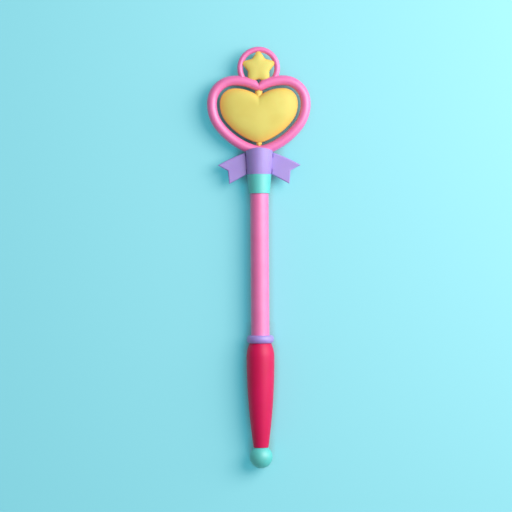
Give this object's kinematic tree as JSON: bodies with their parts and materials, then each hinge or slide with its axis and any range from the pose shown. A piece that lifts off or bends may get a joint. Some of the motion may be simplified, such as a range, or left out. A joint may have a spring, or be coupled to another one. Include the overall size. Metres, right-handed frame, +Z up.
{
  "type": "toy magic wand",
  "caption": "Toy magic wand with a puffed heart that turns inside a round heart frame, a star in a hoop above it, ribbon tails on a collar, a round shaft and a bulged grip with an end ball.",
  "frame": {"origin": "middle of the wand's length and width, on the surface that it lies on", "axes": "+Y along the wand towards the star, +Z up out of the front face, +X to the right seen from the front"},
  "size_m": [0.0902, 0.3668, 0.0244],
  "materials": {
    "frame_pink": "satin moulded plastic, light pink",
    "shaft_pink": "satin moulded plastic, pink",
    "grip_magenta": "semi-gloss moulded plastic, magenta",
    "ribbon_purple": "satin moulded plastic, lilac",
    "mint": "satin moulded plastic, mint",
    "yellow": "satin moulded plastic, soft yellow"
  },
  "bodies": {
    "wand": {"heart_frame_front": "frame_pink", "heart_frame_rear": "frame_pink", "star_hoop": "frame_pink", "star": "yellow", "ribbon_collar": "ribbon_purple", "ribbon_tail_left": "ribbon_purple", "ribbon_tail_right": "ribbon_purple", "neck_sleeve": "mint", "shaft_tube": "shaft_pink", "grip_ring": "ribbon_purple", "grip": "grip_magenta", "end_ball": "mint"},
    "heart": {"heart_shell_front": "yellow", "heart_shell_rear": "yellow", "heart_axle": "yellow"}
  },
  "joints": [
    {"name": "heart_spin", "type": "hinge", "parent": "wand", "child": "heart", "pos_m": [0, 0.1285, 0.0122], "axis": [0, 1, 0], "continuous": true}
  ]
}
